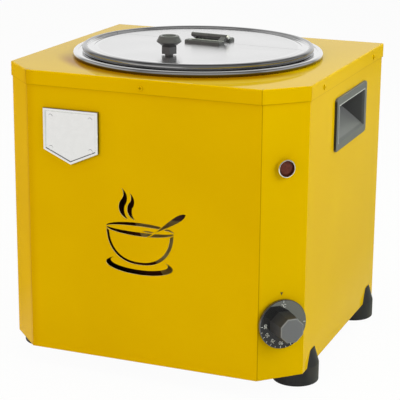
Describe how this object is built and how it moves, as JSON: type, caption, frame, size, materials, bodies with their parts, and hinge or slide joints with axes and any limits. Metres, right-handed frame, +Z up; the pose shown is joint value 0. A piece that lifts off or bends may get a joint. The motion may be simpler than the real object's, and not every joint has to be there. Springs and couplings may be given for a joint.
{
  "type": "soup warmer",
  "caption": "Counter-top soup warmer: yellow sheet-metal box with cut front corners, lift-out steel pot under a two-part hinged lid, thermostat dial, pilot lamp and recessed handles.",
  "frame": {"origin": "on the surface that it stands on, under the middle of the casing", "axes": "+X to the user's right, -Y towards the user at the front, +Z up"},
  "size_m": [0.3629, 0.3429, 0.3709],
  "materials": {
    "yellow_paint": "glossy lacquer",
    "polished_steel": "polished",
    "well_steel": "satin",
    "zinc_plate": "zinc plated",
    "chrome_trim": "bright",
    "red_lens": "clear red",
    "black_plastic": "satin moulded",
    "black_rubber": "matt",
    "element_sheath": "heat darkened",
    "pale_plastic": "moulded",
    "copper": "drawn",
    "brass": "turned",
    "lead_sleeve": "insulated"
  },
  "bodies": {
    "casing": {"casing_wrap": "yellow_paint", "top_cover": "yellow_paint", "rear_panel": "yellow_paint", "heating_well": "well_steel", "base_plate": "zinc_plate", "element_clamp": "zinc_plate", "clamp_nut": "zinc_plate", "bulb_clip": "zinc_plate", "lamp_nut": "zinc_plate", "cover_screws": "zinc_plate", "rear_panel_screws": "zinc_plate", "base_screws": "zinc_plate", "foot_screws": "zinc_plate", "thermostat_screws": "zinc_plate", "badge_plate": "chrome_trim", "badge_rivets": "chrome_trim", "lamp_bezel": "chrome_trim", "lamp_lens": "red_lens", "left_handle_cup": "black_plastic", "right_handle_cup": "black_plastic", "cable_gland": "black_plastic", "gland_nut": "black_plastic", "front_left_foot": "black_rubber", "rear_left_foot": "black_rubber", "front_right_foot": "black_rubber", "rear_right_foot": "black_rubber", "heating_element": "element_sheath", "sensor_bulb": "element_sheath", "thermostat_body": "pale_plastic", "terminal_block": "pale_plastic", "lamp_body": "pale_plastic", "capillary_tube": "copper", "earth_stud": "brass", "live_lead": "lead_sleeve", "element_lead": "lead_sleeve", "neutral_lead": "lead_sleeve", "lamp_lead": "lead_sleeve"},
    "pot": {"soup_pot": "polished_steel"},
    "lid": {"lid_rear_half": "polished_steel", "hinge_rear_leaf": "black_plastic", "hinge_pin": "zinc_plate", "rear_hinge_screws": "zinc_plate"},
    "lid_flap": {"lid_front_half": "polished_steel", "hinge_front_leaf": "black_plastic", "front_hinge_screws": "zinc_plate", "lid_knob": "black_plastic", "knob_screw": "zinc_plate"},
    "dial": {"thermostat_knob": "black_plastic", "thermostat_shaft": "zinc_plate"}
  },
  "joints": [
    {"name": "pot_lift", "type": "slide", "parent": "casing", "child": "pot", "axis": [0, 0, 1], "range_m": [0, 0.24]},
    {"name": "lid_lift", "type": "slide", "parent": "pot", "child": "lid", "axis": [0, 0, 1], "range_m": [0, 0.08]},
    {"name": "flap_hinge", "type": "hinge", "parent": "lid", "child": "lid_flap", "pos_m": [0.00253, 0.02889, 0.3563], "axis": [-0.9962, 0.0872, 0], "range_deg": [0, 165]},
    {"name": "knob_turn", "type": "hinge", "parent": "casing", "child": "dial", "pos_m": [0.15408, -0.14158, 0.0842], "axis": [-0.7071, 0.7071, 0], "range_deg": [0, 270]}
  ]
}
